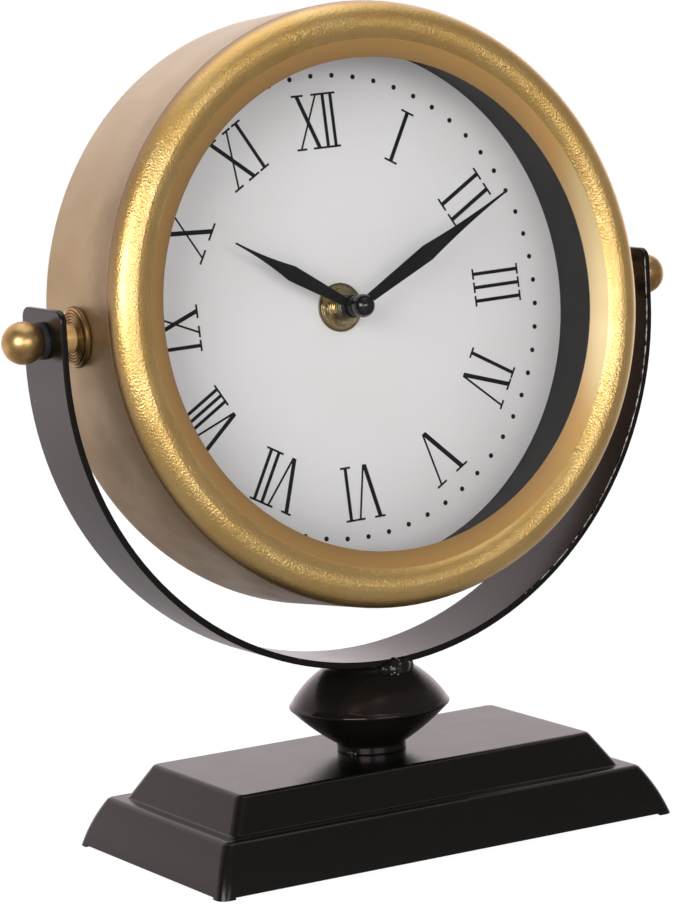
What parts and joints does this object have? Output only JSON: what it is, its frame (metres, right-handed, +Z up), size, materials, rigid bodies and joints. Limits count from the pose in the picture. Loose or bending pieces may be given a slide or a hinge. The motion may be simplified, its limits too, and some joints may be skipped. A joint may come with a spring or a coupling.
{
  "type": "desk clock",
  "caption": "Round desk clock with a rolled gold bezel and roman dial, tilting in a black strap yoke on a stepped base.",
  "frame": {"origin": "table plane under the middle of the base", "axes": "+Z up, +X along the tilt axis to the right of the dial, dial facing -Y"},
  "size_m": [0.2286, 0.092, 0.2527],
  "materials": {
    "stand_paint": "satin black paint",
    "washer_black": "matt black",
    "board_black": "black board",
    "pad_felt": "black felt",
    "zinc_steel": "zinc plated",
    "drum_gold": "satin antique gold",
    "bezel_gold": "burnished antique gold",
    "turned_gold": "antique gold",
    "glass": "clear",
    "reveal_black": "matt black",
    "dial_paper": "matt off-white",
    "dial_card": "plain board",
    "hand_black": "matt black paint",
    "raw_brass": "bright",
    "movement_plastic": "moulded black",
    "gear_plastic": "natural white",
    "coil_copper": "enamelled copper",
    "circuit_green": "solder mask",
    "contact_nickel": "nickel",
    "cell_jacket": "printed jacket, blank"
  },
  "bodies": {
    "stand": {"base_shell": "stand_paint", "base_cover": "board_black", "foot_pads": "pad_felt", "stem_knob": "stand_paint", "stem_stud": "zinc_steel", "stem_washer": "zinc_steel", "stem_nut": "zinc_steel", "yoke": "stand_paint", "collar_left": "washer_black", "collar_right": "washer_black"},
    "case": {"finial_left": "turned_gold", "finial_right": "turned_gold", "spacer_left": "turned_gold", "spacer_right": "turned_gold", "rosette_left": "turned_gold", "rosette_right": "turned_gold", "pivot_nut_left": "zinc_steel", "pivot_nut_right": "zinc_steel", "drum_shell": "drum_gold", "bezel": "bezel_gold", "glass_pane": "glass", "reveal_ring": "reveal_black", "dial_print": "dial_paper", "dial_board": "dial_card", "dial_ring": "zinc_steel", "back_panel": "stand_paint", "back_screws": "zinc_steel", "movement_front": "movement_plastic", "movement_plate": "movement_plastic", "movement_back": "movement_plastic", "dial_bushing": "raw_brass", "dial_gasket": "washer_black", "dial_washer": "raw_brass", "dial_nut": "raw_brass", "coil": "coil_copper", "stator": "zinc_steel", "circuit_board": "circuit_green", "contact_plus": "contact_nickel", "contact_minus": "contact_nickel"},
    "minute": {"minute_hand": "hand_black", "hand_cap": "hand_black", "minute_arbor": "zinc_steel"},
    "hour": {"hour_hand": "hand_black", "hour_wheel": "gear_plastic"},
    "setting": {"set_wheel": "gear_plastic", "set_knob": "gear_plastic"},
    "cell": {"cell": "cell_jacket"}
  },
  "joints": [
    {"name": "case_tilt", "type": "hinge", "parent": "stand", "child": "case", "pos_m": [0, 0, 0.1613], "axis": [1, 0, 0], "continuous": true},
    {"name": "minute_turn", "type": "hinge", "parent": "case", "child": "minute", "pos_m": [0, 0, 0.1613], "axis": [0, 0.9954, -0.0958], "continuous": true},
    {"name": "hour_turn", "type": "hinge", "parent": "case", "child": "hour", "pos_m": [0, 0, 0.1613], "axis": [0, 0.9954, -0.0958], "continuous": true},
    {"name": "set_turn", "type": "hinge", "parent": "case", "child": "setting", "pos_m": [0, 0.00072, 0.16877], "axis": [0, 0.9954, -0.0958], "continuous": true},
    {"name": "cell_lift", "type": "slide", "parent": "case", "child": "cell", "axis": [0, 0.9954, -0.0958], "range_m": [0, 0.018]}
  ],
  "couplings": [
    {"joint": "hour_turn", "follows": "minute_turn", "ratio": 0.083333},
    {"joint": "set_turn", "follows": "minute_turn", "ratio": -0.33333}
  ]
}
